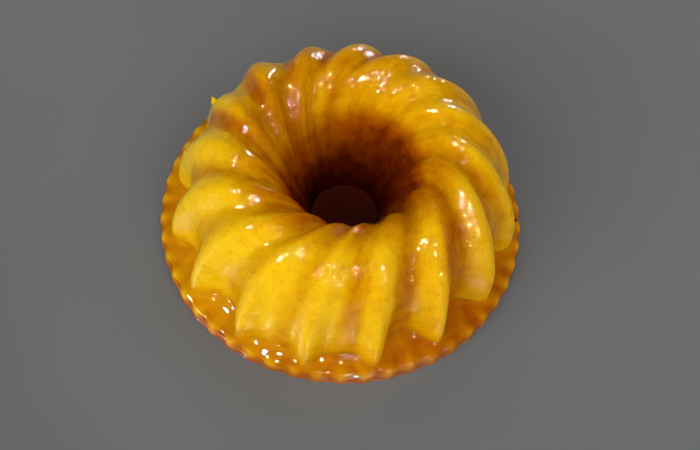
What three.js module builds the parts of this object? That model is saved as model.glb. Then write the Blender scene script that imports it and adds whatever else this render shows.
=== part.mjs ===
// A caramel pudding turned out of a swirled ring mould, on the plate it is served on.
// Millimetres, +Z up. The origin is under the middle of the plate, on the surface that it stands on.
import * as THREE from "three";
import { ParametricGeometry } from "three/addons/geometries/ParametricGeometry.js";

// ---- plate ----
const PLATE_RADIUS = 130;
const PLATE_HEIGHT = 21;
const WELL_RADIUS = 84;          // flat floor inside the rim
const WELL_FLOOR = 7;            // height of that floor
const WELL_BEND = 10;            // width of the bend between floor and rim
const RIM_THICKNESS = 4.4;
const FOOT_RING_RADIUS = 70;     // middle of the ring that the plate stands on
const FOOT_RING_WIDTH = 5;
const FOOT_RING_DEPTH = 2.4;
const FOOT_RING_SLOPE = 1.2;     // how far its sides lean
const LIP_SEGMENTS = 4;
const BEND_SEGMENTS = 4;
const PLATE_SEGMENTS = 96;

// ---- pudding ----
const PUDDING_HEIGHT = 32.4;
const BASE_RADIUS = 45;          // scalloped flange at the bottom
const FLANGE_HEIGHT = 2.7;
const FLANGE_EDGE = 0.6;         // rounding of the flange's two edges
const SCALLOPS = 50;
const SCALLOP_DEPTH = 0.4;
const FIRST_SCALLOP = THREE.MathUtils.degToRad(0.9);
const FOOT_RADIUS = 42.6;        // crests of the flutes, where they stand on the flange
const WALL_LEAN = 0.12;          // above 0, the wall leans in more than a quarter of an ellipse does
const CROWN_RADIUS = 25.8;       // where the ring is highest
const THROAT_RADIUS = 12.6;      // hole, halfway down
const HOLE_RADIUS = 8.6;         // hole, at the bottom
const LIP_SWELL = 0.15;          // above 0, the lip of the hole swells inwards
const THROAT_TAPER = 8;          // the higher, the lower down the hole narrows to its bottom radius
const HOLE_SHIFT_X = 0.8;        // the hole sits a little off the middle
const HOLE_SHIFT_Y = 0.6;
const SHIFT_FROM = 0.4;          // shares of the way between which the surface moves over to the hole
const SHIFT_TO = 0.7;

// ---- flutes ----
const FLUTES = 16;
const FOOT_FLUTE_DEPTH = 5.5;
const CROWN_FLUTE_DEPTH = 2.5;
const DEPTH_FROM = 0.05;         // shares of the way between which the depth changes
const DEPTH_TO = 0.27;
const FOOT_SHARPNESS = 1.9;      // 1 is a plain wave, higher gives narrower crests and broader valleys
const CROWN_SHARPNESS = 0.9;
const SHARPNESS_FROM = 0.08;
const SHARPNESS_TO = 0.4;
const DEEPER = 0.22;             // share by which the flutes are deeper on one side and shallower opposite
const DEEPER_AT = THREE.MathUtils.degToRad(-25);
const FLUTE_FADE = 0.52;         // share of the way from foot to hole over which the flutes die out
const FIRST_CREST = THREE.MathUtils.degToRad(-97.5);
const SWIRL = THREE.MathUtils.degToRad(43);
const SWIRL_DELAY = 1.25;        // above 1, the flutes rise straight first and turn later
const LAG_AT = THREE.MathUtils.degToRad(-84);
const LAG_WIDTH = THREE.MathUtils.degToRad(30);
const LAG = 0.55;                // share of the swirl that the lagging flutes miss
// Two valleys in front are shallow, and so are those on one whole flank: each misses a share of its depth.
const SHALLOW_VALLEYS = [
  { at: THREE.MathUtils.degToRad(-108.75), width: THREE.MathUtils.degToRad(9), share: 0.62 },
  { at: THREE.MathUtils.degToRad(-86.25), width: THREE.MathUtils.degToRad(8), share: 0.5 },
  { at: THREE.MathUtils.degToRad(35), width: THREE.MathUtils.degToRad(45), share: 0.5 },
];

// ---- slump of the soft custard ----
// The wall bulges on one side, and on the other a single crest stands out.
const BULGES = [
  { most: 1.5, at: THREE.MathUtils.degToRad(-23), width: THREE.MathUtils.degToRad(27) },
  { most: 1.5, at: THREE.MathUtils.degToRad(137), width: THREE.MathUtils.degToRad(8) },
];
const BULGE_FROM = 0.15;         // share of the way from which a bulge is full
const SLUMP_TO = 0.45;           // share of the way up to which the wall gives fully
const SLUMP_EASE = 0.2;
// The wall stands out of round: leaning to one side, and a little oval.
const OUT_OF_ROUND = [
  { lobes: 1, most: 0.54, at: THREE.MathUtils.degToRad(-56) },
  { lobes: 2, most: 0.45, at: THREE.MathUtils.degToRad(58) },
];

// ---- caramel in the hole ----
const POOL_DEPTH = 1.2;
const POOL_GAP = 0.3;
const POOL_EDGE = 0.5;
const POOL_SEGMENTS = 48;

const COLUMNS_PER_SCALLOP = 4;
const COLUMNS = SCALLOPS * COLUMNS_PER_SCALLOP;
const WALL_ROWS = 16;
const NORMAL_STEP = 1 / 64;      // share of the way over which the outline's direction is taken
const HALF_TURN = Math.PI;
const FULL_TURN = 2 * Math.PI;

const custard = new THREE.MeshStandardMaterial({ color: 0xf2b51e, roughness: 0.32, metalness: 0 });
const caramel = new THREE.MeshStandardMaterial({ color: 0x3a1405, roughness: 0.08, metalness: 0 });
const greyGlaze = new THREE.MeshStandardMaterial({ color: 0x7b7d7c, roughness: 0.2, metalness: 0 });

function named(name, geometry, material) {
  const mesh = new THREE.Mesh(geometry, material);
  mesh.name = name;
  return mesh;
}

// Angle from one direction to another, between minus and plus half a turn.
function angleBetween(from, to) {
  return THREE.MathUtils.euclideanModulo(to - from + HALF_TURN, FULL_TURN) - HALF_TURN;
}

// 1 in the stated direction, falling away on both sides of it.
function near(azimuth, direction, width) {
  return Math.exp(-((angleBetween(direction, azimuth) / width) ** 2));
}

// ---- The mould's outline ----
// way runs from 0 at the foot of the wall, over the crown at a half, to 1 at the bottom of the hole.
function crestOutline(way) {
  const rise = Math.sin(way * HALF_TURN);
  const reach = Math.cos(way * HALF_TURN);
  if (reach >= 0) {
    const share = reach * (1 - WALL_LEAN * (1 - reach));
    const radius = CROWN_RADIUS + (FOOT_RADIUS - CROWN_RADIUS) * share;
    return new THREE.Vector2(radius, FLANGE_HEIGHT + (PUDDING_HEIGHT - FLANGE_HEIGHT) * rise);
  }
  const share = -reach * (1 + LIP_SWELL * (1 + reach));
  const taper = (THROAT_RADIUS - HOLE_RADIUS) * (-reach) ** THROAT_TAPER;
  const radius = CROWN_RADIUS - (CROWN_RADIUS - THROAT_RADIUS) * share - taper;
  return new THREE.Vector2(radius, PUDDING_HEIGHT * rise);
}

// Unit vector out of the custard, square to the outline.
function outward(way) {
  const before = crestOutline(Math.max(0, way - NORMAL_STEP));
  const along = crestOutline(Math.min(1, way + NORMAL_STEP)).sub(before).normalize();
  return new THREE.Vector2(along.y, -along.x);
}

// ---- Flutes ----
// A column of the surface keeps its place on its flute all the way, and the swirl carries it round.
function valleyShare(column, way) {
  const wave = (1 + Math.cos(FLUTES * (column - FIRST_CREST))) / 2;
  const upper = THREE.MathUtils.smoothstep(way, SHARPNESS_FROM, SHARPNESS_TO);
  return 1 - wave ** THREE.MathUtils.lerp(FOOT_SHARPNESS, CROWN_SHARPNESS, upper);
}

function fluteDepth(column, way) {
  const upper = THREE.MathUtils.smoothstep(way, DEPTH_FROM, DEPTH_TO);
  let depth = THREE.MathUtils.lerp(FOOT_FLUTE_DEPTH, CROWN_FLUTE_DEPTH, upper);
  depth *= 1 + DEEPER * Math.cos(column - DEEPER_AT);
  for (const valley of SHALLOW_VALLEYS) {
    depth *= 1 - valley.share * near(column, valley.at, valley.width);
  }
  return depth * THREE.MathUtils.smoothstep(1 - way, 0, FLUTE_FADE);
}

function swirlAt(column, way) {
  const turned = THREE.MathUtils.smoothstep(way ** SWIRL_DELAY, 0, 1);
  const lag = LAG * near(column, LAG_AT, LAG_WIDTH) * THREE.MathUtils.smoothstep(1 - way, 0, 1 / 2);
  return SWIRL * turned * (1 - lag);
}

// ---- Slump ----
function slump(azimuth, way) {
  let out = 0;
  for (const bulge of BULGES) {
    out += bulge.most * near(azimuth, bulge.at, bulge.width) * THREE.MathUtils.smoothstep(way, 0, BULGE_FROM);
  }
  for (const wave of OUT_OF_ROUND) {
    out += wave.most * Math.cos(wave.lobes * (azimuth - wave.at));
  }
  return out * (1 - THREE.MathUtils.smoothstep(way, SLUMP_TO, SLUMP_TO + SLUMP_EASE));
}

function wallPoint(column, way, target) {
  const outline = crestOutline(way);
  const sunk = fluteDepth(column, way) * valleyShare(column, way);
  outline.addScaledVector(outward(way), -sunk);
  const azimuth = column + swirlAt(column, way);
  const radius = outline.x + slump(azimuth, way);
  const shifted = THREE.MathUtils.smoothstep(way, SHIFT_FROM, SHIFT_TO);
  target.set(
    radius * Math.cos(azimuth) + HOLE_SHIFT_X * shifted,
    radius * Math.sin(azimuth) + HOLE_SHIFT_Y * shifted,
    outline.y);
}

// ---- Flange ----
// Its outline from the underside, round the scalloped edge, to the ledge that the flutes stand on.
function flangeOutline(column) {
  const scallop = SCALLOP_DEPTH * Math.cos(SCALLOPS * (column - FIRST_SCALLOP)) / 2;
  return [
    new THREE.Vector2(BASE_RADIUS - FLANGE_EDGE, 0),
    new THREE.Vector2(BASE_RADIUS + scallop, FLANGE_EDGE),
    new THREE.Vector2(BASE_RADIUS + scallop, FLANGE_HEIGHT - FLANGE_EDGE),
    new THREE.Vector2(BASE_RADIUS - FLANGE_EDGE, FLANGE_HEIGHT),
  ];
}

// The skin closes on itself both ways: round the ring, and from wall to hole to flange to wall.
function puddingRing() {
  const flangeRows = flangeOutline(0).length;
  const rows = WALL_ROWS + 1 + flangeRows;
  const skin = (across, along, target) => {
    const column = across * FULL_TURN;
    const row = Math.round(along * rows) % rows;
    if (row <= WALL_ROWS) {
      wallPoint(column, row / WALL_ROWS, target);
    } else {
      const edge = flangeOutline(column)[row - WALL_ROWS - 1];
      target.set(edge.x * Math.cos(column), edge.x * Math.sin(column), edge.y);
    }
  };
  return new ParametricGeometry(skin, COLUMNS, rows);
}

// ---- Turned pieces ----
// The outline goes from the axis underneath, round the outside, back to the axis on top.
function turned(outline, segments) {
  return new THREE.LatheGeometry(outline, segments).rotateX(HALF_TURN / 2);
}

function caramelPool() {
  const radius = HOLE_RADIUS - POOL_GAP;
  return turned([
    new THREE.Vector2(0, 0),
    new THREE.Vector2(radius, 0),
    new THREE.Vector2(radius, POOL_DEPTH - POOL_EDGE),
    new THREE.Vector2(radius - POOL_EDGE, POOL_DEPTH),
    new THREE.Vector2(0, POOL_DEPTH),
  ], POOL_SEGMENTS);
}

function plateBody() {
  const footIn = FOOT_RING_RADIUS - FOOT_RING_WIDTH / 2;
  const footOut = FOOT_RING_RADIUS + FOOT_RING_WIDTH / 2;
  const bendOut = WELL_RADIUS + WELL_BEND;
  const rimSlope = (PLATE_HEIGHT - WELL_FLOOR) / (PLATE_RADIUS - WELL_RADIUS);
  const bendTop = WELL_FLOOR + WELL_BEND * rimSlope;
  const lip = RIM_THICKNESS / 2;
  const path = new THREE.Path();
  path.moveTo(0, FOOT_RING_DEPTH);
  path.lineTo(footIn - FOOT_RING_SLOPE, FOOT_RING_DEPTH);
  path.lineTo(footIn, 0);
  path.lineTo(footOut, 0);
  path.lineTo(footOut + FOOT_RING_SLOPE, FOOT_RING_DEPTH);
  path.lineTo(WELL_RADIUS, FOOT_RING_DEPTH);
  path.lineTo(PLATE_RADIUS - lip, PLATE_HEIGHT - RIM_THICKNESS);
  const outline = path.getPoints();
  const round = new THREE.EllipseCurve(
    PLATE_RADIUS - lip, PLATE_HEIGHT - lip, lip, lip, -HALF_TURN / 2, HALF_TURN / 2);
  outline.push(...round.getPoints(LIP_SEGMENTS).slice(1));
  const bend = new THREE.QuadraticBezierCurve(
    new THREE.Vector2(bendOut, bendTop),
    new THREE.Vector2(WELL_RADIUS, WELL_FLOOR),
    new THREE.Vector2(WELL_RADIUS - WELL_BEND, WELL_FLOOR));
  outline.push(...bend.getPoints(BEND_SEGMENTS));
  outline.push(new THREE.Vector2(0, WELL_FLOOR));
  return turned(outline, PLATE_SEGMENTS);
}

// ---- Assembly ----
const plate = named("plate", plateBody(), greyGlaze);

const pudding = named("pudding", puddingRing(), custard);
pudding.position.z = WELL_FLOOR;

const pool = named("caramel_pool", caramelPool(), caramel);
pool.position.set(HOLE_SHIFT_X, HOLE_SHIFT_Y, WELL_FLOOR);

const group = new THREE.Group();
group.add(plate, pudding, pool);

export default group;
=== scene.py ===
# %% [markdown]
# # A caramel pudding on its plate
# A small ring of egg custard, turned out of a swirled mould. The caramel from the bottom of the mould has
# run over it: it stands in the hole and on the ledge round the foot, and it stains the valleys between the
# flutes. The CAD model gives the true sizes and places. This script dresses it: each step says what the
# real thing is, how it could be made in Blender, and why it is made the way it is.

# %% The frame
import math
import random

import bmesh
import bpy
from mathutils import Matrix, Vector
from mathutils.bvhtree import BVHTree


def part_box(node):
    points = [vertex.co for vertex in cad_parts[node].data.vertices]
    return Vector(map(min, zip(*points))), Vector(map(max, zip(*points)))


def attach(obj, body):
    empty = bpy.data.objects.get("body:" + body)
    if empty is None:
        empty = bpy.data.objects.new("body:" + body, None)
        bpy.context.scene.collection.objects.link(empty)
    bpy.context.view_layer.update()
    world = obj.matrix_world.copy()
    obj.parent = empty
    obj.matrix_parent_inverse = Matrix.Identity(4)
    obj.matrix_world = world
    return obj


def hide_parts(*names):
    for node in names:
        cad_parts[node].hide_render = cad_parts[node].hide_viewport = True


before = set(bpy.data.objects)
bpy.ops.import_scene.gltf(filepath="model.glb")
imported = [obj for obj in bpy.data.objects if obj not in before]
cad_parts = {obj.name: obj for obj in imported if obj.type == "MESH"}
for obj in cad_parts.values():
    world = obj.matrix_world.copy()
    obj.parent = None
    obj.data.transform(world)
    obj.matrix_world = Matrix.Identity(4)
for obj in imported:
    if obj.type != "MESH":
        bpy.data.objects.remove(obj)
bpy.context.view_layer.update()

MM = 0.001
BODY = "root"
print("CAD nodes:", sorted(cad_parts))

# %% [markdown]
# ## Sizes
# The frame says how large each piece is, so the driving sizes are read from it. What a box can't tell, such
# as how deep the flutes are, is a named size in this script, the same as in the CAD model.

# %% Sizes from the frame
pudding_low, pudding_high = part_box("pudding")
pool_low, pool_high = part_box("caramel_pool")
plate_low, plate_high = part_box("plate")

WELL_FLOOR = pudding_low.z
PUDDING_HEIGHT = pudding_high.z - pudding_low.z
SCALLOPS = 50
SCALLOP_DEPTH = 0.4 * MM
BASE_RADIUS = (pudding_high.x - pudding_low.x - SCALLOP_DEPTH * math.cos(math.pi / 4)) / 2
POOL_RADIUS = (pool_high.x - pool_low.x) / 2
POOL_LEVEL = pool_high.z
POOL_MIDDLE = (pool_low + pool_high) / 2
PLATE_RADIUS = (plate_high.x - plate_low.x) / 2
PLATE_HEIGHT = plate_high.z
print(f"pudding {2 * BASE_RADIUS / MM:.1f} mm across and {PUDDING_HEIGHT / MM:.1f} mm high")
print(f"plate {2 * PLATE_RADIUS / MM:.0f} mm across, its well {WELL_FLOOR / MM:.1f} mm up")

# %% [markdown]
# ## Camera
# The pudding is looked down on from close by, in front of the plate. The camera aims at the middle of the
# pudding's base, is rolled a little, and its lens is shifted by a percent to frame the pudding as it sits.

# %% Camera
AIM = Vector((0, 0, WELL_FLOOR))
CAMERA_DISTANCE = 315 * MM
CAMERA_ELEVATION = math.radians(59.26)
CAMERA_ROLL = math.radians(5.4)
LENS = 64.03
SHIFT_ACROSS = 0.013
SHIFT_UP = -0.01

towards_camera = Vector((0, -math.cos(CAMERA_ELEVATION), math.sin(CAMERA_ELEVATION)))
tilt = Matrix.Rotation(math.pi / 2 - CAMERA_ELEVATION, 4, "X") @ Matrix.Rotation(CAMERA_ROLL, 4, "Z")
camera = bpy.data.objects.new("camera", bpy.data.cameras.new("camera"))
camera.matrix_world = Matrix.Translation(AIM + towards_camera * CAMERA_DISTANCE) @ tilt
camera.data.lens = LENS
camera.data.shift_x = SHIFT_ACROSS
camera.data.shift_y = SHIFT_UP
camera.data.clip_start = CAMERA_DISTANCE / 100
bpy.context.scene.collection.objects.link(camera)
bpy.context.scene.camera = camera
print("camera at", [round(c, 3) for c in camera.location])

# %% [markdown]
# ## Light
# A wet, glossy food shows its shape by the windows that mirror in it. Small soft boxes stand for them, one
# in front of the pudding, one on the left, one on the right and a low one at the back: each mirrors as a
# cluster of white sparks. The room itself lights the shadows. Wide boxes stand for it: one on each side,
# and one high up that reaches into the hole. They would veil every wet patch with grey, so the gloss
# doesn't mirror them.

# %% Light
LIGHT_DISTANCE = 1.1
WORLD_GREY = 0.05


def soft_box(name, azimuth, elevation, width, height, power, mirrored):
    """An area light that looks at the pudding from the stated direction, in degrees.

    Its width and height are in metres and its power in watts. A mirrored one is seen in gloss alone, and
    any other lights the surfaces and isn't seen in their gloss.
    """
    a, e = math.radians(azimuth), math.radians(elevation)
    towards = Vector((math.cos(a) * math.cos(e), math.sin(a) * math.cos(e), math.sin(e)))
    light = bpy.data.lights.new(name, "AREA")
    light.shape = "RECTANGLE"
    light.size = width
    light.size_y = height
    light.energy = power
    lamp = bpy.data.objects.new(name, light)
    lamp.location = AIM + towards * LIGHT_DISTANCE
    lamp.rotation_mode = "QUATERNION"
    lamp.rotation_quaternion = towards.to_track_quat("Z", "Y")
    lamp.visible_glossy = mirrored
    lamp.visible_diffuse = not mirrored
    bpy.context.scene.collection.objects.link(lamp)
    return lamp


soft_box("window_front", -74, 50, 0.04, 0.10, 15.0, mirrored=True)
soft_box("window_left", -148, 46, 0.08, 0.05, 22.0, mirrored=True)
soft_box("window_right", -52, 24, 0.05, 0.05, 5.0, mirrored=True)
soft_box("window_back", 72, 3, 0.2, 0.06, 5.0, mirrored=True)
soft_box("room_left", -133, 30, 1.0, 0.9, 9.2, mirrored=False)
soft_box("room_front", -75, 28, 1.0, 0.9, 4.6, mirrored=False)
soft_box("room_right", 12, 30, 1.0, 0.9, 3.1, mirrored=False)
soft_box("room_back", 98, 30, 1.0, 0.9, 4.3, mirrored=False)
soft_box("room_high", -35, 58, 0.6, 0.6, 1.6, mirrored=False)

world = bpy.data.worlds.new("room")
bpy.context.scene.world = world
world.use_nodes = True
world.node_tree.nodes["Background"].inputs["Color"].default_value = (WORLD_GREY, WORLD_GREY, WORLD_GREY, 1)
bpy.context.scene.view_settings.view_transform = "Standard"

# %% [markdown]
# ## Node trees as formulas
# Both the shapes and the finishes below are formulas. Written one node at a time they can't be read, so a
# small class wraps an output socket and overloads the operators: a sum or product of wires adds its Math
# node by itself. Every other kind of node goes through one method, which sets the node first and plugs it
# in second.

# %% Wires and graphs
class Graph:
    """A node tree, and the one way in which nodes are added to it."""

    def __init__(self, tree):
        self.tree = tree

    def node(self, kind, settings=None, sockets=None):
        """Adds a node, sets it, fills its sockets with values or wires, and gives its first output."""
        made = self.tree.nodes.new(kind)
        for name, value in (settings or {}).items():
            setattr(made, name, value)
        for key, value in (sockets or {}).items():
            self.plug(value, made.inputs[key])
        return Wire(self, made.outputs[0])

    def plug(self, value, socket):
        """A list of wires goes into one socket that takes several, such as Join Geometry's."""
        for one in value if isinstance(value, list) else [value]:
            if isinstance(one, Wire):
                self.tree.links.new(one.socket, socket)
            else:
                socket.default_value = one


class Wire:
    """An output socket. Arithmetic on wires and numbers adds the Math nodes that work it out."""

    def __init__(self, graph, socket):
        self.graph = graph
        self.socket = socket

    def output(self, name):
        """Another output of the same node."""
        return Wire(self.graph, self.socket.node.outputs[name])

    def math(self, operation, *others):
        return self.graph.node("ShaderNodeMath", {"operation": operation}, dict(enumerate((self, *others))))

    def __add__(self, other):
        return self.math("ADD", other)

    def __sub__(self, other):
        return self.math("SUBTRACT", other)

    def __mul__(self, other):
        return self.math("MULTIPLY", other)

    def __truediv__(self, other):
        return self.math("DIVIDE", other)

    def __pow__(self, other):
        return self.math("POWER", other)

    def __rsub__(self, other):
        return self * -1 + other

    def __neg__(self):
        return self * -1

    __radd__ = __add__
    __rmul__ = __mul__


# %% [markdown]
# ## Three building blocks
# Most formulas below are put together from three blocks. A soft step says where a coat or a bulge starts and
# ends, a bell says which side of the ring it is on, and noise breaks up what would look drawn by machine.

# %% Steps, bells and noise
def smooth(value, low, high):
    """0 below low, 1 above high, and a soft step between them."""
    steps = {"Value": value, "From Min": low, "From Max": high}
    return value.graph.node("ShaderNodeMapRange", {"interpolation_type": "SMOOTHSTEP"}, steps)


def near(direction, middle, width):
    """1 in one direction round the ring, falling away on both sides of it."""
    apart = (direction - middle).math("WRAP", math.pi, -math.pi) / width
    return (-(apart * apart)).math("EXPONENT")


def noise(graph, place, scale, detail, rough):
    """Noise about a half, at the stated number of lumps a metre."""
    sockets = {"Vector": place, "Scale": scale, "Detail": detail, "Roughness": rough}
    return graph.node("ShaderNodeTexNoise", None, sockets)


# %% [markdown]
# ## Materials: a film of caramel
# Custard is a pale yellow gel, and what colours it is the film of caramel on it: each bit of thickness takes
# its share of the light, least of the red and most of the blue. That is the law of a tinted layer, an
# exponential for each channel, so one stored thickness turns the custard from yellow over amber to brown.
# Where the film is thick, as in the hole, it also darkens alike in all colours: that is painted shade, for
# the shade deep in the hole. A colour ramp could fake this, but the formula needs five numbers only and
# holds everywhere, on the ledge as in the hole.

# %% Colour of a film of caramel
CUSTARD_COLOUR = (0.93, 0.585, 0.007)
CARAMEL_TAKES = (0.5, 1.06, 4.0)       # what a millimetre takes of red, green and blue, as exponents
PAINTED_SHADE_FROM = 2.0                       # thickness in millimetres past which painted shade darkens it
PAINTED_SHADE_TAKES = 0.27                     # what a millimetre past it takes of every colour besides: painted shade


def under_caramel(graph, colour, film):
    """The colour of a ground under a thickness of caramel in millimetres, painted shade where it is thick.
    """
    # Painted shade: past a thickness, every channel darkens alike, for the shade deep in the hole.
    painted_shade = (film - PAINTED_SHADE_FROM).math("MAXIMUM", 0) * PAINTED_SHADE_TAKES
    seen = []
    for ground, takes in zip(colour, CARAMEL_TAKES):
        seen.append((film * -takes - painted_shade).math("EXPONENT") * ground)
    return graph.node("ShaderNodeCombineColor", None, dict(enumerate(seen)))


def material(name):
    """A new material with its graph and its principled shader."""
    made = bpy.data.materials.new(name)
    made.use_nodes = True
    return made, Graph(made.node_tree), made.node_tree.nodes["Principled BSDF"]


def relief(graph, shader, height, strength, distance):
    """Lets a height, from 0 to 1, tip the surface's normal."""
    sockets = {"Height": height, "Strength": strength, "Distance": distance}
    bumped = graph.node("ShaderNodeBump", None, sockets)
    graph.plug(bumped, shader.inputs["Normal"])


def on_the_piece(graph):
    """Where a pattern lies on the piece, and the thickness of caramel that is stored on its points."""
    place = graph.node("ShaderNodeTexCoord").output("Object")
    film = graph.node("ShaderNodeAttribute", {"attribute_name": "film"}).output("Fac")
    return place, film


# %% [markdown]
# ## Materials: the custard
# Light sinks into custard, so it gets subsurface scattering, most for the red. Its skin is wet and as smooth
# as a mirror, but not flat: pimples and wider dents break each window up into sparks. They are too small to
# model, so a Bump node tips the normals. The caramel on it is mottled and has darker freckles.

# %% Custard
MOTTLES, FRECKLES, PIMPLES, DENTS = 320, 900, 1700, 600      # lumps a metre
MOTTLE_FILM, FRECKLE_FILM = 0.2, 0.15                        # caramel in them, in millimetres
PIMPLE_HEIGHT = 0.11 * MM
LIGHT_SINKS_IN = 4 * MM


def custard_material():
    made, graph, shader = material("custard")
    place, film = on_the_piece(graph)
    mottle = noise(graph, place, MOTTLES, 5.0, 0.6)
    freckles = smooth(noise(graph, place, FRECKLES, 1.0, 0.5), 0.55, 0.8)
    uneven_film = film * (0.7 + 0.6 * mottle)
    stained = uneven_film + MOTTLE_FILM * smooth(mottle, 0.45, 0.75) + FRECKLE_FILM * freckles
    graph.plug(under_caramel(graph, CUSTARD_COLOUR, stained), shader.inputs["Base Color"])
    pimples = noise(graph, place, PIMPLES, 0.0, 0.5)
    dents = noise(graph, place, DENTS, 0.0, 0.5)
    relief(graph, shader, pimples + dents, 1.0, PIMPLE_HEIGHT)
    shader.inputs["Roughness"].default_value = 0.05
    shader.inputs["Subsurface Weight"].default_value = 0.75
    shader.inputs["Subsurface Radius"].default_value = (1.0, 0.45, 0.1)
    shader.inputs["Subsurface Scale"].default_value = LIGHT_SINKS_IN
    shader.inputs["IOR"].default_value = 1.42
    shader.inputs["Specular IOR Level"].default_value = 0.25
    return made


custard = custard_material()
print("custard:", len(custard.node_tree.nodes), "nodes")

# %% [markdown]
# ## Materials: caramel syrup
# Syrup is clear and brown. Where it lies a millimetre deep on custard, it is the same tinted layer, only
# with a mirror-smooth skin that ripples. In the hole it is so deep that hardly any light comes back. Real
# refraction would need a clear liquid over a second surface, and a thin layer shows none of it.

# %% Syrup
SWIRLS, RIPPLES = 240, 500             # lumps a metre
RIPPLE_HEIGHT = 0.1 * MM
# The pool's film is past where painted shade starts, so its darkness is partly painted shade.
POOL_FILM = 3.4                        # thickness in millimetres that the pool's colour is worth


def syrup_material(name, deep):
    made, graph, shader = material(name)
    place, film = on_the_piece(graph)
    swirl = noise(graph, place, SWIRLS, 4.0, 0.6)
    tinted = under_caramel(graph, CUSTARD_COLOUR, film * (0.4 + 1.2 * swirl) + deep)
    graph.plug(tinted, shader.inputs["Base Color"])
    relief(graph, shader, noise(graph, place, RIPPLES, 1.0, 0.5), 1.0, RIPPLE_HEIGHT)
    shader.inputs["Roughness"].default_value = 0.04
    shader.inputs["IOR"].default_value = 1.47
    shader.inputs["Specular IOR Level"].default_value = 0.3
    return made


thin_syrup = syrup_material("syrup_on_ledge", 0.0)
deep_syrup = syrup_material("syrup_in_hole", POOL_FILM)
print("syrups:", thin_syrup.name, "and", deep_syrup.name)

# %% [markdown]
# ## Materials: glaze and bare clay
# The plate's glaze is a smooth, cool mid-grey, a little cloudy, with fine dark specks. Under the foot ring
# the clay is bare: rough, warmer and grainy. Both are noise on a grey, with a tint that shifts it.

# %% Glaze and bare clay
GLAZE_GREY, GLAZE_TINT = 0.176, (0.97, 1.0, 1.01)
CLAY_GREY, CLAY_TINT = 0.3, (1.08, 1.0, 0.88)
CLOUDS, SPECKS, WAVES, GRAINS = 18, 900, 60, 1200            # lumps a metre
WAVE_HEIGHT = 0.3 * MM
GRAIN_HEIGHT = 0.2 * MM


def tinted_grey(graph, grey, tint):
    return graph.node("ShaderNodeCombineColor", None, {k: grey * share for k, share in enumerate(tint)})


def glaze_material():
    made, graph, shader = material("grey_glaze")
    place = graph.node("ShaderNodeTexCoord").output("Object")
    cloud = noise(graph, place, CLOUDS, 4.0, 0.6)
    speck = smooth(noise(graph, place, SPECKS, 2.0, 0.5), 0.68, 0.8)
    grey = GLAZE_GREY + 0.01 * (cloud - 0.5) - 0.015 * speck
    graph.plug(tinted_grey(graph, grey, GLAZE_TINT), shader.inputs["Base Color"])
    graph.plug(0.2 + 0.05 * cloud, shader.inputs["Roughness"])
    relief(graph, shader, noise(graph, place, WAVES, 3.0, 0.5), 0.08, WAVE_HEIGHT)
    shader.inputs["IOR"].default_value = 1.5
    return made


def clay_material():
    made, graph, shader = material("bare_clay")
    place = graph.node("ShaderNodeTexCoord").output("Object")
    grain = noise(graph, place, GRAINS, 4.0, 0.7)
    graph.plug(tinted_grey(graph, CLAY_GREY + 0.1 * grain, CLAY_TINT), shader.inputs["Base Color"])
    relief(graph, shader, grain, 0.5, GRAIN_HEIGHT)
    shader.inputs["Roughness"].default_value = 0.85
    return made


grey_glaze = glaze_material()
bare_clay = clay_material()
print("plate's materials:", grey_glaze.name, "and", bare_clay.name)

# %% [markdown]
# ## Floor
# A plain pale floor, far larger than the plate. It isn't part of the object.

# %% Floor
FLOOR_SIZE = 12.0
FLOOR_COLOUR = (0.78, 0.78, 0.77, 1)


def placed(name, mesh, materials):
    """An object at the origin that shows the mesh, with its materials."""
    for made in materials:
        mesh.materials.append(made)
    piece = bpy.data.objects.new(name, mesh)
    bpy.context.scene.collection.objects.link(piece)
    return piece


def floor():
    made, graph, shader = material("floor")
    shader.inputs["Base Color"].default_value = FLOOR_COLOUR
    shader.inputs["Roughness"].default_value = 0.6
    mesh = bpy.data.meshes.new("floor")
    half = FLOOR_SIZE / 2
    corners = [(-half, -half, 0), (half, -half, 0), (half, half, 0), (-half, half, 0)]
    mesh.from_pydata(corners, [], [(0, 1, 2, 3)])
    return placed("floor", mesh, [made])


floor()
print("floor:", FLOOR_SIZE, "m across")

# %% [markdown]
# ## Pieces turned on a lathe
# The plate and the pool of caramel are round about an axis. A Screw modifier or a bmesh spin would turn an
# outline too, but both leave doubled points at the axis. Here each point of the outline becomes one ring of
# points, or a single one on the axis, and neighbouring rings are joined by faces: closed from the start.

# %% Lathe
def ring_of(place, segments, middle):
    """The points that one point of an outline sweeps, or the one point that it stays on the axis."""
    radius, height = place
    if radius == 0:
        return [Vector((middle.x, middle.y, height))]
    ring = []
    for k in range(segments):
        a = 2 * math.pi * k / segments
        ring.append(Vector((middle.x + radius * math.cos(a), middle.y + radius * math.sin(a), height)))
    return ring


def lathe(name, outline, segments, middle, materials):
    """Turns an outline, from the axis underneath, round the outside, to the axis on top."""
    shape = bmesh.new()
    rings = [[shape.verts.new(p) for p in ring_of(place, segments, middle)] for place in outline]
    for lower, upper in zip(rings, rings[1:]):
        for k in range(segments):
            after = (k + 1) % segments
            corners = [lower[k % len(lower)], lower[after % len(lower)],
                       upper[after % len(upper)], upper[k % len(upper)]]
            shape.faces.new(list(dict.fromkeys(corners)))
    for face in shape.faces:
        face.smooth = True
    mesh = bpy.data.meshes.new(name)
    shape.to_mesh(mesh)
    shape.free()
    return placed(name, mesh, materials)


def arc(middle_radius, middle_height, radius, start, end, steps):
    """Points of an outline round a stated middle, by angles in degrees."""
    angles = [math.radians(start + (end - start) * k / steps) for k in range(steps + 1)]
    return [(middle_radius + radius * math.cos(a), middle_height + radius * math.sin(a)) for a in angles]


# %% [markdown]
# ## The plate
# A wide stoneware plate with a flat well, a gently sloped rim with a rolled lip, and a foot ring that stands
# bare of glaze, as it does on a plate that is fired standing up. The bend from the well to the rim is a
# quadratic curve: a point that runs along a line which itself swings round.

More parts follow.
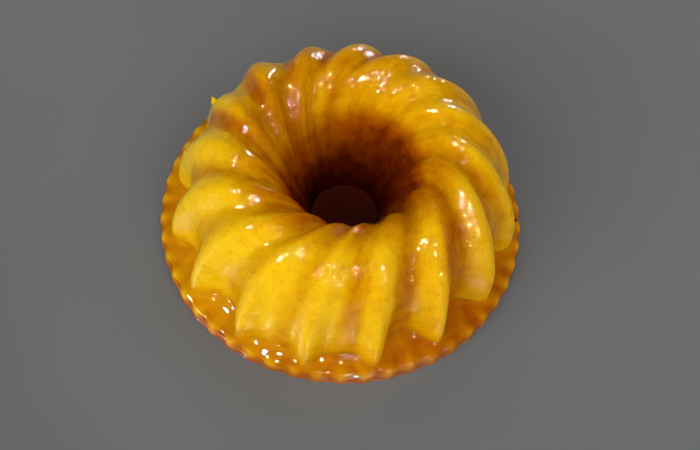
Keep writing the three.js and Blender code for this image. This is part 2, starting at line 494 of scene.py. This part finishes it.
# %% Plate
WELL_RADIUS = 84 * MM
WELL_BEND = 10 * MM
RIM_THICKNESS = 4.4 * MM
FOOT_RING_RADIUS = 70 * MM
FOOT_RING_WIDTH = 5 * MM
FOOT_RING_DEPTH = 2.4 * MM
FOOT_RING_SLOPE = 1.2 * MM
PLATE_SEGMENTS = 256
BEND_STEPS = 12
LIP_STEPS = 12
WELL_RINGS = 12
GLAZED, UNGLAZED = 0, 1                # places of the two materials on the plate


def plate_below():
    """From the axis underneath, over the foot ring, to where the rim starts to rise."""
    foot_in = FOOT_RING_RADIUS - FOOT_RING_WIDTH / 2
    foot_out = FOOT_RING_RADIUS + FOOT_RING_WIDTH / 2
    up = FOOT_RING_DEPTH
    inside = [(0, up), (foot_in / 2, up), (foot_in - FOOT_RING_SLOPE, up)]
    outside = [(foot_out + FOOT_RING_SLOPE, up), (WELL_RADIUS, up)]
    return inside + [(foot_in, 0), (foot_out, 0)] + outside


def plate_above():
    """From the inner edge of the lip, down the rim and round its bend, to the axis in the well."""
    slope = (PLATE_HEIGHT - WELL_FLOOR) / (PLATE_RADIUS - WELL_RADIUS)
    bend_out = Vector((WELL_RADIUS + WELL_BEND, WELL_FLOOR + WELL_BEND * slope))
    bend_mid = Vector((WELL_RADIUS, WELL_FLOOR))
    bend_in = Vector((WELL_RADIUS - WELL_BEND, WELL_FLOOR))
    outline = []
    for k in range(BEND_STEPS + 1):
        t = k / BEND_STEPS
        outline.append(tuple(bend_out.lerp(bend_mid, t).lerp(bend_mid.lerp(bend_in, t), t)))
    inner = WELL_RADIUS - WELL_BEND
    outline += [(inner * (1 - k / WELL_RINGS), WELL_FLOOR) for k in range(1, WELL_RINGS)]
    return outline + [(0, WELL_FLOOR)]


lip = RIM_THICKNESS / 2
plate_lip = arc(PLATE_RADIUS - lip, PLATE_HEIGHT - lip, lip, -90, 90, LIP_STEPS)
plate_outline = plate_below() + plate_lip + plate_above()
plate = lathe("plate_glazed", plate_outline, PLATE_SEGMENTS, Vector((0, 0, 0)), [grey_glaze, bare_clay])
for face in plate.data.polygons:
    stands_on_it = face.center.z < FOOT_RING_DEPTH / 4
    face.material_index = UNGLAZED if stands_on_it else GLAZED
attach(plate, BODY)
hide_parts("plate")
print("plate:", len(plate.data.polygons), "faces")

# %% [markdown]
# ## The shape of the ring
# The skin of the pudding follows a rule: an outline from the foot over the crown into the hole, waved into
# flutes, turned by the swirl and slumped a little by its own weight. Sculpting it would lose the rule, so
# Geometry Nodes bend flat grids into it. A point of a grid has a column, its direction round the ring, and a
# way, from 0 at the foot over a half at the crown to 1 at the bottom of the hole.

# %% Named sizes of the ring
SIZES = {
    "Height": PUDDING_HEIGHT,
    "Base radius": BASE_RADIUS,
    "Flange height": 2.7 * MM,
    "Flange edge": 0.6 * MM,
    "Scallop depth": SCALLOP_DEPTH,
    "Foot radius": 42.6 * MM,
    "Crown radius": 25.8 * MM,
    "Throat radius": 12.6 * MM,
    "Hole radius": 8.6 * MM,
    "Foot flute depth": 5.5 * MM,
    "Crown flute depth": 2.5 * MM,
    "Right bulge": 1.5 * MM,
    "Back bulge": 1.5 * MM,
    "Leaning": 0.54 * MM,
    "Oval": 0.45 * MM,
    "Lumps": 0.16 * MM,
    "Floor": WELL_FLOOR,
}
print("named sizes, mm:", {name: round(size / MM, 2) for name, size in SIZES.items()})

# %% [markdown]
# ## Outline and flutes
# The outline is two quarters of an ellipse, one outside and one inside, that lean and taper as the mould
# does. A flute is sunk into it at a right angle, so the outline's direction is needed as well: it is
# measured between points a little before and after. The flutes are deepest at the foot and die out in the
# hole.

# %% The outline
WALL_LEAN = 0.12                       # above 0, the wall leans in more than an ellipse does
LIP_SWELL = 0.15                       # above 0, the lip of the hole swells inwards
THROAT_TAPER = 8                       # the higher, the lower down the hole reaches its bottom radius
NORMAL_STEP = 1 / 64


def mould_outline(way, size):
    """Radius and height of the crests, above the underside of the pudding."""
    rise = (way * math.pi).math("SINE")
    reach = (way * math.pi).math("COSINE")
    outer = reach.math("MAXIMUM", 0)
    inner = (-reach).math("MAXIMUM", 0)
    wall = (size["Foot radius"] - size["Crown radius"]) * outer * (1 - WALL_LEAN * (1 - outer))
    lip = (size["Crown radius"] - size["Throat radius"]) * inner * (1 + LIP_SWELL * (1 - inner))
    taper = (size["Throat radius"] - size["Hole radius"]) * inner ** THROAT_TAPER
    outside = reach.math("GREATER_THAN", 0)
    height = size["Height"] * rise + size["Flange height"] * (1 - rise) * outside
    return size["Crown radius"] + wall - lip - taper, height


def outward(way, size):
    """The two parts, along the radius and up, of the unit vector square to the outline."""
    before = mould_outline((way - NORMAL_STEP).math("MAXIMUM", 0), size)
    after = mould_outline((way + NORMAL_STEP).math("MINIMUM", 1), size)
    across, up = (b - a for a, b in zip(before, after))
    length = (across * across + up * up).math("SQRT")
    return up / length, -across / length


# %% The flutes
FLUTES = 16
FIRST_CREST = math.radians(-97.5)
DEPTH_FROM, DEPTH_TO = 0.05, 0.27      # shares of the way between which the depth changes
FOOT_SHARPNESS, CROWN_SHARPNESS = 1.9, 0.9       # above 1, crests are narrower than valleys
SHARPNESS_FROM, SHARPNESS_TO = 0.08, 0.4
DEEPER, DEEPER_AT = 0.22, math.radians(-25)      # one side of the ring is this much deeper
FLUTE_FADE = 0.52                      # share of the way, from the hole, over which the flutes die out
SHALLOW_VALLEYS = [
    # direction, width, and the share of its depth that a valley lacks there
    (math.radians(-108.75), math.radians(9), 0.62),
    (math.radians(-86.25), math.radians(8), 0.5),
    (math.radians(35), math.radians(45), 0.5),
]


def wave_of_flutes(column):
    """1 on the crest of a flute and 0 in the valley beside it."""
    return (((column - FIRST_CREST) * FLUTES).math("COSINE") + 1) / 2


def valley_share(column, way):
    """0 on a crest and 1 in a valley, with crests as sharp as they are at this height."""
    upper = smooth(way, SHARPNESS_FROM, SHARPNESS_TO)
    sharpness = FOOT_SHARPNESS + (CROWN_SHARPNESS - FOOT_SHARPNESS) * upper
    return 1 - wave_of_flutes(column) ** sharpness


def flute_depth(column, way, size):
    upper = smooth(way, DEPTH_FROM, DEPTH_TO)
    depth = size["Foot flute depth"] + (size["Crown flute depth"] - size["Foot flute depth"]) * upper
    depth *= 1 + DEEPER * (column - DEEPER_AT).math("COSINE")
    for middle, width, share in SHALLOW_VALLEYS:
        depth *= 1 - share * near(column, middle, width)
    return depth * smooth(1 - way, 0, FLUTE_FADE)


# %% [markdown]
# ## Swirl and slump
# The flutes rise straight at first and then turn, a few in front less than the others. Set custard is soft:
# once it stands free it bulges on the right and at the back, leans a little and grows slightly oval. All of
# that fades out towards the hole, which sits a little off the middle.

# %% Swirl and slump
SWIRL = math.radians(43)
SWIRL_DELAY = 1.25                     # above 1, the flutes rise straight first and turn later
LAG_AT, LAG_WIDTH, LAG = math.radians(-84), math.radians(30), 0.55
RIGHT_BULGE_AT, RIGHT_BULGE_WIDTH = math.radians(-23), math.radians(27)
BACK_BULGE_AT, BACK_BULGE_WIDTH = math.radians(137), math.radians(8)
BULGE_FROM = 0.15                      # share of the way from which a bulge is full
LEANING_AT, OVAL_AT = math.radians(-56), math.radians(58)
SLUMP_TO, SLUMP_EASE = 0.45, 0.2
HOLE_SHIFT = Vector((POOL_MIDDLE.x, POOL_MIDDLE.y))
SHIFT_FROM, SHIFT_TO = 0.4, 0.7


def swirl_at(column, way):
    turned = smooth(way ** SWIRL_DELAY, 0, 1)
    lag = LAG * near(column, LAG_AT, LAG_WIDTH) * smooth(1 - way, 0, 0.5)
    return SWIRL * turned * (1 - lag)


def slump(azimuth, way, size):
    right = size["Right bulge"] * near(azimuth, RIGHT_BULGE_AT, RIGHT_BULGE_WIDTH)
    back = size["Back bulge"] * near(azimuth, BACK_BULGE_AT, BACK_BULGE_WIDTH)
    bulged = (right + back) * smooth(way, 0, BULGE_FROM)
    leaning = size["Leaning"] * (azimuth - LEANING_AT).math("COSINE")
    oval = size["Oval"] * ((azimuth - OVAL_AT) * 2).math("COSINE")
    return (bulged + leaning + oval) * (1 - smooth(way, SLUMP_TO, SLUMP_TO + SLUMP_EASE))


def round_the_axis(graph, azimuth, radius, height, size, aside=0.0):
    """A place in the frame, from a direction, a distance from the axis and a height above the plate."""
    x = radius * azimuth.math("COSINE") + aside * HOLE_SHIFT.x
    y = radius * azimuth.math("SINE") + aside * HOLE_SHIFT.y
    return graph.node("ShaderNodeCombineXYZ", None, {"X": x, "Y": y, "Z": height + size["Floor"]})


def wall_point(column, way, size):
    """Azimuth, radius and height on the fluted wall, and how far it has moved over to the hole."""
    radius, height = mould_outline(way, size)
    across, up = outward(way, size)
    sunk = flute_depth(column, way, size) * valley_share(column, way)
    azimuth = column + swirl_at(column, way)
    radius = radius - across * sunk + slump(azimuth, way, size)
    return azimuth, radius, height - up * sunk, smooth(way, SHIFT_FROM, SHIFT_TO)


# %% [markdown]
# ## Where the caramel stays
# Caramel ran down from the crown. It fills the hole and soaks the valleys on the viewer's right, where it is
# also set on the side of each crest that leans away from the light: there it is partly caramel and partly
# painted shade. The flank at the back on the right has a thin coat all over, and the crests in front are
# bare.
# Its thickness is stored on the points as the attribute "film", in millimetres, so that the material can
# follow the flutes. An image mask would do it too, but it would have to be painted by hand.

# %% Sides of the ring and reaches of the film
SOAKED_AT, SOAKED_WIDTH = math.radians(-50), math.radians(32)
LEFT_BACK_AT, LEFT_BACK_WIDTH = math.radians(130), math.radians(55)
FLANK_AT, FLANK_WIDTH = math.radians(35), math.radians(60)
FRONT_LIP_AT, FRONT_LIP_WIDTH = math.radians(-86), math.radians(45)
PALE_AT, PALE_WIDTH = math.radians(25), math.radians(75)
BACK_AT, BACK_WIDTH = math.radians(105), math.radians(60)
FRONT_AT, FRONT_WIDTH = math.radians(-105), math.radians(50)

# Shares of the way between which a coat grows to full, going up the wall and into the hole.
RUNNEL_GROWS = (0.1, 0.35)
BROW_GROWS = (0.3, 0.4)
CROWN_GROWS = (0.42, 0.64)
BOTTOM_GROWS = (0.93, 1.0)

# Counted back from the bottom of the hole: a coat of the wall is gone at the first, full at the second.
VALLEY_ENDS = (0.38, 0.6)
COAT_ENDS = (0.5, 0.65)
FLANK_ENDS = (0.5, 0.64)
BROW_ENDS = (0.4, 0.5)

# %% [markdown]
# ## Thickness of the film
# In a valley, the stain is a band that lies a little to one side, towards the flank in shade, so the band is
# partly stain and partly painted shade. On the soaked side the band is wide and deep, in front it is narrow
# and faint. In the hole the film thickens twice, in the throat and further down, and at the back both start
# lower.
# Noise that is stretched along the way turns the even coat into runnels.

# %% Film of caramel
# These shifts set each band towards the flank that faces away from the light: partly painted shade.
BAND_ASIDE, BAND_BACK, BAND_LEFT = math.radians(4), math.radians(7), math.radians(8)
VALLEY_FILM, SOAKED_FILM, LEFT_BACK_FILM = 0.32, 0.6, 0.8    # these and the next ones in millimetres
COAT_FILM, SOAKED_COAT_FILM = 0.04, 0.22
FLANK_FILM, BROW_FILM = 0.2, 0.5
CROWN_FILM, PALE_CROWN_LACKS, SOAKED_CROWN_HAS = 1.0, 0.75, 0.2
THROAT_FILM, BACK_THROAT_LACKS = 2.3, 1.3
DEPTHS_FILM, BACK_DEPTHS_HAVE, BOTTOM_FILM = 0.9, 1.5, 0.3
FOOT_FILM = 0.6
FRONT_LIP_LACKS = 0.7                  # share of the film in the hole


def film_in_valley(column, way, soaked, left_back):
    # Painted shade: the shifted band darkens the flank that faces away from the light.
    band = wave_of_flutes(column - (BAND_ASIDE - BAND_BACK * soaked - BAND_LEFT * left_back))
    runnel = SOAKED_FILM * soaked * (0.6 + 0.4 * smooth(way, *RUNNEL_GROWS))
    ran_down = VALLEY_FILM + runnel + LEFT_BACK_FILM * left_back
    beside = smooth(band, 0.35 * soaked - 0.15, 0.55 + 0.35 * soaked)
    return ran_down * (1 - beside) * smooth(1 - way, *VALLEY_ENDS)


def film_in_hole(column, way, back):
    throat = (THROAT_FILM - BACK_THROAT_LACKS * back) * smooth(way, 0.68 + 0.04 * back, 0.8 + 0.04 * back)
    depths = (DEPTHS_FILM + BACK_DEPTHS_HAVE * back) * smooth(way, 0.78 + 0.05 * back, 0.96)
    bottom = BOTTOM_FILM * smooth(way, *BOTTOM_GROWS)
    barer = FRONT_LIP_LACKS * near(column, FRONT_LIP_AT, FRONT_LIP_WIDTH)
    return (throat + (depths + bottom)) * (1 - barer)


def film_on_wall(graph, column, way):
    """Thickness of the caramel in millimetres: in the valleys, over the crown, in the hole, at the foot."""
    stretched = {"X": column.math("COSINE") * 3, "Y": column.math("SINE") * 3, "Z": way * 1.4}
    place = graph.node("ShaderNodeCombineXYZ", None, stretched)
    streaks = smooth(noise(graph, place, 2.2, 4.0, 0.6), 0.3, 0.7)
    soaked = near(column, SOAKED_AT, SOAKED_WIDTH)
    back = near(column, BACK_AT, BACK_WIDTH)
    in_valley = film_in_valley(column, way, soaked, near(column, LEFT_BACK_AT, LEFT_BACK_WIDTH))
    all_over = COAT_FILM + SOAKED_COAT_FILM * soaked * smooth(1 - way, *COAT_ENDS)
    on_flank = FLANK_FILM * near(column, FLANK_AT, FLANK_WIDTH) * smooth(1 - way, *FLANK_ENDS)
    on_brow = BROW_FILM * back * smooth(way, *BROW_GROWS) * smooth(1 - way, *BROW_ENDS)
    crown = CROWN_FILM - PALE_CROWN_LACKS * near(column, PALE_AT, PALE_WIDTH) + SOAKED_CROWN_HAS * soaked
    on_wall = all_over + in_valley + on_flank + on_brow + crown * smooth(way, *CROWN_GROWS)
    front = near(column, FRONT_AT, FRONT_WIDTH)
    at_foot = FOOT_FILM * (1 - smooth(way, 0.0, 0.03 + 0.09 * front))
    return on_wall * (0.6 + 0.8 * streaks) + film_in_hole(column, way, back) + at_foot


# %% [markdown]
# ## Grids bent into a skin
# Each patch of skin is a grid of Geometry Nodes. The grid's own X and Y say column and way before Set
# Position bends it, and its edges meet the next patch point by point, so Merge by Distance closes the skin.
# Lumps are added after that, along the normals, so that no seam opens.

# %% Patches
MERGE_WITHIN = 0.01 * MM


def patch(graph, columns, rows, shape):
    """A grid bent to the places that shape gives for a column and a share of the rows, with its film."""
    grid = graph.node("GeometryNodeMeshGrid", None, {
        "Size X": 1.0, "Size Y": 1.0, "Vertices X": columns + 1, "Vertices Y": rows + 1})
    where = graph.node("ShaderNodeSeparateXYZ", None, {"Vector": graph.node("GeometryNodeInputPosition")})
    column = (where.output("X") + 0.5) * (2 * math.pi)
    along = where.output("Y") + 0.5
    place, film = shape(column, along)
    stored = graph.node("GeometryNodeStoreNamedAttribute", {"data_type": "FLOAT", "domain": "POINT"},
                        {"Geometry": grid, "Name": "film", "Value": film})
    return graph.node("GeometryNodeSetPosition", None, {"Geometry": stored, "Position": place})


def closed_skin(graph, patches, lumps=None):
    """Joins patches into one closed skin, and adds its relief."""
    joined = graph.node("GeometryNodeJoinGeometry", None, {"Geometry": patches})
    skin = graph.node("GeometryNodeMergeByDistance", None, {"Geometry": joined, "Distance": MERGE_WITHIN})
    if lumps is not None:
        skin = graph.node("GeometryNodeSetPosition", None, {"Geometry": skin, "Offset": lumps})
    return graph.node("GeometryNodeSetShadeSmooth", None, {"Geometry": skin})


def finished(graph, skin, made):
    """The end of every tree: real geometry, with its material."""
    real = graph.node("GeometryNodeRealizeInstances", None, {"Geometry": skin})
    return graph.node("GeometryNodeSetMaterial", None, {"Geometry": real, "Material": made})


# %% [markdown]
# ## From a tree to a piece
# A tree says its sizes as named inputs, so that one can be changed in the modifier later. The modifier's
# inputs go by the socket's identifier, and they are set before the piece is first worked out. The result is
# kept as a plain mesh and the modifier removed, so that the piece doesn't depend on it.

# %% Trees and the pieces that they make
def new_tree(name, sizes):
    """A Geometry Nodes tree with a named input for each size."""
    tree = bpy.data.node_groups.new(name, "GeometryNodeTree")
    tree.interface.new_socket("Geometry", in_out="OUTPUT", socket_type="NodeSocketGeometry")
    for label in sizes:
        tree.interface.new_socket(label, in_out="INPUT", socket_type="NodeSocketFloat")
    graph = Graph(tree)
    source = tree.nodes.new("NodeGroupInput")
    return graph, {label: Wire(graph, source.outputs[label]) for label in sizes}


def grown(name, graph, skin, sizes):
    """Runs a tree on an empty mesh, with its inputs set, and keeps the result as a plain mesh."""
    sink = graph.tree.nodes.new("NodeGroupOutput")
    graph.plug(skin, sink.inputs["Geometry"])
    piece = placed(name, bpy.data.meshes.new(name), [])
    modifier = piece.modifiers.new(name, "NODES")
    modifier.node_group = graph.tree
    for socket in graph.tree.interface.items_tree:
        if socket.in_out == "INPUT":
            modifier[socket.identifier] = sizes[socket.name]
    ready = piece.evaluated_get(bpy.context.evaluated_depsgraph_get())
    mesh = bpy.data.meshes.new_from_object(ready)
    piece.modifiers.remove(modifier)
    piece.data = mesh
    mesh.name = name
    return piece


# %% [markdown]
# ## Rim and ledge
# Below the wall, a thin flange sticks out. Its edge is scalloped: fifty small ribs from the mould's crimped
# rim, which syrup has filled here and there. The edge's section is a rounded rectangle, drawn as a
# superellipse: a cosine and a sine, each taken to a power below one.

# %% What is uneven round the ring
UNEVEN = {
    # lumps a turn, and the seed
    "ribs": (18, 1.0),
    "rim": (24, 2.0),
    "bays": (16, 3.0),
    "depth": (26, 4.0),
    "film": (30, 6.0),
    "seam": (34, 7.0),
}


def uneven(graph, column, what):
    """Noise about a half that goes round the ring and meets itself."""
    turns, seed = UNEVEN[what]
    round_it = {"X": column.math("COSINE"), "Y": column.math("SINE"), "Z": seed}
    place = graph.node("ShaderNodeCombineXYZ", None, round_it)
    return noise(graph, place, turns / (2 * math.pi), 2.0, 0.6)


# %% Scallops of the rim
FIRST_SCALLOP = math.radians(0.9)
RIB_LEAST, RIB_MORE = 0.35, 1.3        # strength of a rib where syrup fills it, and what it gains elsewhere
RIM_UNEVEN = 1.6                       # in depths of a scallop


def rib(graph, column):
    """1 on a scallop of the mould and -1 beside it, less where the syrup has filled the scallops."""
    wave = ((column - FIRST_SCALLOP) * SCALLOPS).math("COSINE")
    return wave * (RIB_LEAST + RIB_MORE * uneven(graph, column, "ribs"))


def scalloped(graph, column, size):
    """How far the rim stands out."""
    wanders = RIM_UNEVEN * (uneven(graph, column, "rim") - 0.5)
    return size["Scallop depth"] * (rib(graph, column) / 2 + wanders)


# %% [markdown]
# ## The pudding
# Four patches close the skin: the flat underside, the scalloped edge of the flange, the ledge on top of it,
# and the fluted wall. Each starts where the one before it ends. Low lumps are added at the end, and fade out
# near the plate so that the pudding stands flat.

# %% Flange and underside
EDGE_SQUARENESS = 0.65                 # the power of the superellipse: 1 is round
LEDGE_FILM = 1.12
RIM_FILM = 1.5
RIM_FADES = (0.3, 0.8)                 # shares of the way round the edge between which its film thins
RIB_LACKS = 0.4                        # millimetres of film that a rib lacks


def signed_power(value, power):
    return value.math("SIGN") * value.math("ABSOLUTE") ** power


def flange_edge(graph, column, along, size):
    """From the rim of the underside, round the scalloped edge, to the rim of the ledge."""
    angle = (along - 0.5) * math.pi
    deep = size["Flange edge"]
    half = size["Flange height"] / 2
    bulged = (deep + scalloped(graph, column, size)) * signed_power(angle.math("COSINE"), EDGE_SQUARENESS)
    radius = size["Base radius"] - deep + bulged
    height = half + half * signed_power(angle.math("SINE"), EDGE_SQUARENESS)
    film = RIM_FILM + (LEDGE_FILM - RIM_FILM) * smooth(along, *RIM_FADES) - RIB_LACKS * rib(graph, column)
    return round_the_axis(graph, column, radius, height, size), film


def ledge(graph, column, along, size):
    """From the rim inwards to the feet of the flutes."""
    azimuth, foot, height, aside = wall_point(column, 0 * along, size)
    rim = size["Base radius"] - size["Flange edge"]
    radius = rim + (foot - rim) * along
    return round_the_axis(graph, column, radius, height, size), LEDGE_FILM + 0 * along


def underside(graph, column, along, size):
    """From the bottom of the hole out to the rim of the underside. It lies flat on the plate."""
    azimuth, hole, height, aside = wall_point(column, 0 * along + 1, size)
    rim = size["Base radius"] - size["Flange edge"]
    direction = azimuth + (column - azimuth) * along
    radius = hole + (rim - hole) * along
    return round_the_axis(graph, direction, radius, 0 * along, size, 1 - along), LEDGE_FILM + 0 * along


# %% Pudding
COLUMNS = 600
WALL_ROWS = 128
EDGE_ROWS = 14
LEDGE_ROWS = 6
UNDERSIDE_ROWS = 6
LUMPS = 170                            # a metre
CLEAR_OF_PLATE = (0.2 * MM, 2.5 * MM)  # heights between which the lumps grow to full


def lumps_of_skin(graph, size):
    """A small move along the normal, none where the pudding stands on the plate."""
    place = graph.node("GeometryNodeInputPosition")
    high = graph.node("ShaderNodeSeparateXYZ", None, {"Vector": place}).output("Z")
    clear = smooth(high - size["Floor"], *CLEAR_OF_PLATE)
    bumps = noise(graph, place, LUMPS, 2.0, 0.5) - 0.5
    move = {0: graph.node("GeometryNodeInputNormal"), "Scale": bumps * clear * size["Lumps"] * 2}
    return graph.node("ShaderNodeVectorMath", {"operation": "SCALE"}, move)


def pudding():
    graph, size = new_tree("pudding", SIZES)

    def wall(column, way):
        azimuth, radius, height, aside = wall_point(column, way, size)
        return round_the_axis(graph, azimuth, radius, height, size, aside), film_on_wall(graph, column, way)

    patches = [
        patch(graph, COLUMNS, UNDERSIDE_ROWS, lambda c, t: underside(graph, c, t, size)),
        patch(graph, COLUMNS, EDGE_ROWS, lambda c, t: flange_edge(graph, c, t, size)),
        patch(graph, COLUMNS, LEDGE_ROWS, lambda c, t: ledge(graph, c, t, size)),
        patch(graph, COLUMNS, WALL_ROWS, wall),
    ]
    skin = closed_skin(graph, patches, lumps_of_skin(graph, size))
    return grown("pudding_custard", graph, finished(graph, skin, custard), SIZES)


ring = pudding()
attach(ring, BODY)
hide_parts("pudding")
print("pudding:", len(ring.data.vertices), "points,", len(ring.data.polygons), "faces")

# %% [markdown]
# ## Syrup on the ledge
# Round the foot, syrup has pooled on the ledge, between the feet of the flutes and out past the rim, where
# it hangs over the edge as a bead does. It is a closed strip that is drawn up a little where it wets the
# custard and lies deepest on the viewer's right. Its inner edge is sunk into the wall, so no gap shows.

# %% Sizes of the syrup
SYRUP_SIZES = dict(SIZES, **{
    "Syrup depth": 0.5 * MM,
    "Syrup sunk": 0.35 * MM,
    "Syrup bead": 1.3 * MM,
    "Meniscus": 0.5 * MM,
    "Meniscus in valleys": 2.4 * MM,
    "Meniscus reach": 0.7 * MM,
    "Reach in valleys": 1.6 * MM,
    "Syrup bays": 0.25 * MM,
    "Overlap": 0.12 * MM,
    "Overhang": 0.7 * MM,
    "Crimp": 0.18 * MM,
    "Seam width": 0.3 * MM,
    "Seam height": 0.45 * MM,
    "Seam sunk": 0.2 * MM,
})
SYRUP_INSIDE = 0.9 * MM
DEEP_AT, DEEP_WIDTH = math.radians(-48), math.radians(50)
CRIMP_GROWS = (0.4, 0.95)              # shares of the way out between which the ribs show through
print("sizes of the syrup:", len(SYRUP_SIZES) - len(SIZES), "more")


# %% Section of the syrup
def drawn_up(column, from_foot, size):
    """How far the custard draws the syrup up, highest and widest in the valleys."""
    valley = 1 - wave_of_flutes(column)
    reach = size["Meniscus reach"] + (size["Reach in valleys"] - size["Meniscus reach"]) * valley
    most = size["Meniscus"] + (size["Meniscus in valleys"] - size["Meniscus"]) * valley
    return most * (-(from_foot.math("MAXIMUM", 0) / reach)).math("EXPONENT")


def syrup_section(graph, column, along, size):
    """Once round the strip's section: from the rim over the top to the wall, and back underneath."""
    azimuth, foot, height, aside = wall_point(column, 0 * along, size)
    angle = along * (2 * math.pi)
    share = (angle.math("COSINE") + 1) / 2
    inner = foot - SYRUP_INSIDE
    bays = size["Syrup bays"] * uneven(graph, column, "bays")
    outer = size["Base radius"] + size["Overlap"] - bays + scalloped(graph, column, size)
    radius = inner + (outer - inner) * share
    to_rim = (1 - (outer - radius) / size["Syrup bead"]).math("MAXIMUM", 0)
    bead = (1 - to_rim * to_rim).math("SQRT")
    hangs = size["Overhang"] * to_rim * to_rim
    deep = near(column, DEEP_AT, DEEP_WIDTH)
    depth = size["Syrup depth"] * (0.2 + 1.4 * uneven(graph, column, "depth") + 0.8 * deep)
    crimp = rib(graph, column) * smooth(share, *CRIMP_GROWS)
    stands = (depth + drawn_up(column, radius - foot, size) + size["Crimp"] * crimp).math("MAXIMUM", 0)
    lifted = stands * bead * angle.math("SINE").math("GREATER_THAN", 0)
    sunk = size["Syrup sunk"] * (-angle.math("SINE")).math("MAXIMUM", 0)
    film = 0.75 + 0.7 * deep + 0.8 * (uneven(graph, column, "film") - 0.5) - RIB_LACKS * crimp
    return round_the_axis(graph, column, radius, height + lifted - sunk - hangs, size), film


# %% [markdown]
# ## The seam under the rim
# Where the rim meets the plate, a thin line of syrup has wept out and closes the joint. It is a second strip
# in the same tree, half an ellipse in section and as wide as noise makes it.

# %% Seam, and both strips together
SYRUP_ROWS = 32
SEAM_ROWS = 12
SEAM_FILM = 1.8


def seam_section(graph, column, along, size):
    """Once round the seam's section: the upper half of an ellipse, flat below."""
    angle = along * (2 * math.pi)
    wide = size["Seam width"] * (0.5 + uneven(graph, column, "seam"))
    up = angle.math("SINE").math("MAXIMUM", 0)
    middle = size["Base radius"] + scalloped(graph, column, size) - size["Seam sunk"]
    radius = middle + wide * angle.math("COSINE")
    return round_the_axis(graph, column, radius, size["Seam height"] * up, size), SEAM_FILM + 0 * up


def syrup_on_ledge():
    graph, size = new_tree("syrup_on_ledge", SYRUP_SIZES)
    ledge_strip = patch(graph, COLUMNS, SYRUP_ROWS, lambda c, t: syrup_section(graph, c, t, size))
    ledge_strip = closed_skin(graph, [ledge_strip])
    seam_strip = patch(graph, COLUMNS, SEAM_ROWS, lambda c, t: seam_section(graph, c, t, size))
    seam_strip = closed_skin(graph, [seam_strip])
    both = graph.node("GeometryNodeJoinGeometry", None, {"Geometry": [ledge_strip, seam_strip]})
    return grown("caramel_ledge", graph, finished(graph, both, thin_syrup), SYRUP_SIZES)


ledge_syrup = syrup_on_ledge()
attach(ledge_syrup, BODY)
print("syrup on the ledge:", len(ledge_syrup.data.polygons), "faces")

# %% [markdown]
# ## Syrup in the hole
# The pool at the bottom of the hole is flat in the middle, and its edge climbs the wall a little. It is
# turned on the lathe like the plate.

# %% Syrup in the hole
POOL_MENISCUS = 0.6 * MM
POOL_REACH = 1.1 * MM
POOL_RINGS = 24
POOL_SEGMENTS = 96


def pool_outline():
    outline = [(0, WELL_FLOOR), (POOL_RADIUS, WELL_FLOOR)]
    for k in range(POOL_RINGS):
        radius = POOL_RADIUS * (1 - k / POOL_RINGS)
        climb = POOL_MENISCUS * math.exp((radius - POOL_RADIUS) / POOL_REACH)
        outline.append((radius, POOL_LEVEL + climb))
    return outline + [(0, POOL_LEVEL)]


pool = lathe("caramel_in_hole", pool_outline(), POOL_SEGMENTS, POOL_MIDDLE, [deep_syrup])
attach(pool, BODY)
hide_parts("caramel_pool")
print("pool:", len(pool.data.polygons), "faces")

# %% [markdown]
# ## Torn scraps
# Turning the pudding out tore its skin in a few places: a yellow chip stands out at the back on the left,
# and on the right flakes cling to the flank beside a dark crumb. A chip is angular, so each is the convex
# hull of a few seeded points in a flat ball. Its direction round the pudding and its height are given, and a
# ray cast inwards finds the skin that it sits on, so no chip hangs in the air.

# %% Torn scraps
CHIP_SEED = 7
CHIP_POINTS = 14
CAST_FROM = 2 * BASE_RADIUS
CHIPS = {
    # azimuth in degrees; height, size (outwards, round, up) and film of caramel in millimetres
    "shard_left_back": (155, 30.9, (1.9, 0.9, 1.6), 0.0),
    "flake_left": (162.7, 26.5, (0.7, 0.6, 0.7), 0.2),
    "shard_right": (10.5, 18.6, (0.9, 0.6, 1.5), 0.1),
    "flake_right_high": (-4.7, 28.2, (0.5, 0.5, 1.2), 0.3),
    "flake_right_low": (-7, 25.2, (0.4, 0.5, 1.5), 0.3),
    "dark_crumb": (-6.6, 21.9, (0.5, 0.5, 0.9), 4.0),
}


def spot_on_skin(skin, azimuth, height):
    """Where a ray from outside meets the skin, at the stated direction and height, and the normal there."""
    a = math.radians(azimuth)
    outwards = Vector((math.cos(a), math.sin(a), 0))
    place, normal, face, distance = skin.ray_cast(outwards * CAST_FROM + Vector((0, 0, height)), -outwards)
    return place, normal


def chip(place, normal, size, draw):
    """Corners of a chip that stands out along the stated normal."""
    turn = normal.to_track_quat("X", "Z").to_matrix()
    corners = []
    for k in range(CHIP_POINTS):
        spot = Vector([draw.gauss(0, 1) for axis in range(3)]).normalized()
        corners.append(place + turn @ Vector([s * c * MM for s, c in zip(size, spot)]))
    return corners


def torn_scraps(ring):
    draw = random.Random(CHIP_SEED)
    skin = BVHTree.FromPolygons([v.co for v in ring.data.vertices], [p.vertices for p in ring.data.polygons])
    shape = bmesh.new()
    film = shape.verts.layers.float.new("film")
    for azimuth, height, size, coat in CHIPS.values():
        place, normal = spot_on_skin(skin, azimuth, height * MM)
        corners = [shape.verts.new(c) for c in chip(place, normal, size, draw)]
        for corner in corners:
            corner[film] = coat
        hull = bmesh.ops.convex_hull(shape, input=corners)
        loose = [v for v in hull["geom_interior"] if isinstance(v, bmesh.types.BMVert)]
        bmesh.ops.delete(shape, geom=loose, context="VERTS")
    mesh = bpy.data.meshes.new("custard_scraps")
    shape.to_mesh(mesh)
    shape.free()
    return placed("custard_scraps", mesh, [custard])


scraps = torn_scraps(ring)
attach(scraps, BODY)
print("scraps:", len(scraps.data.polygons), "faces")
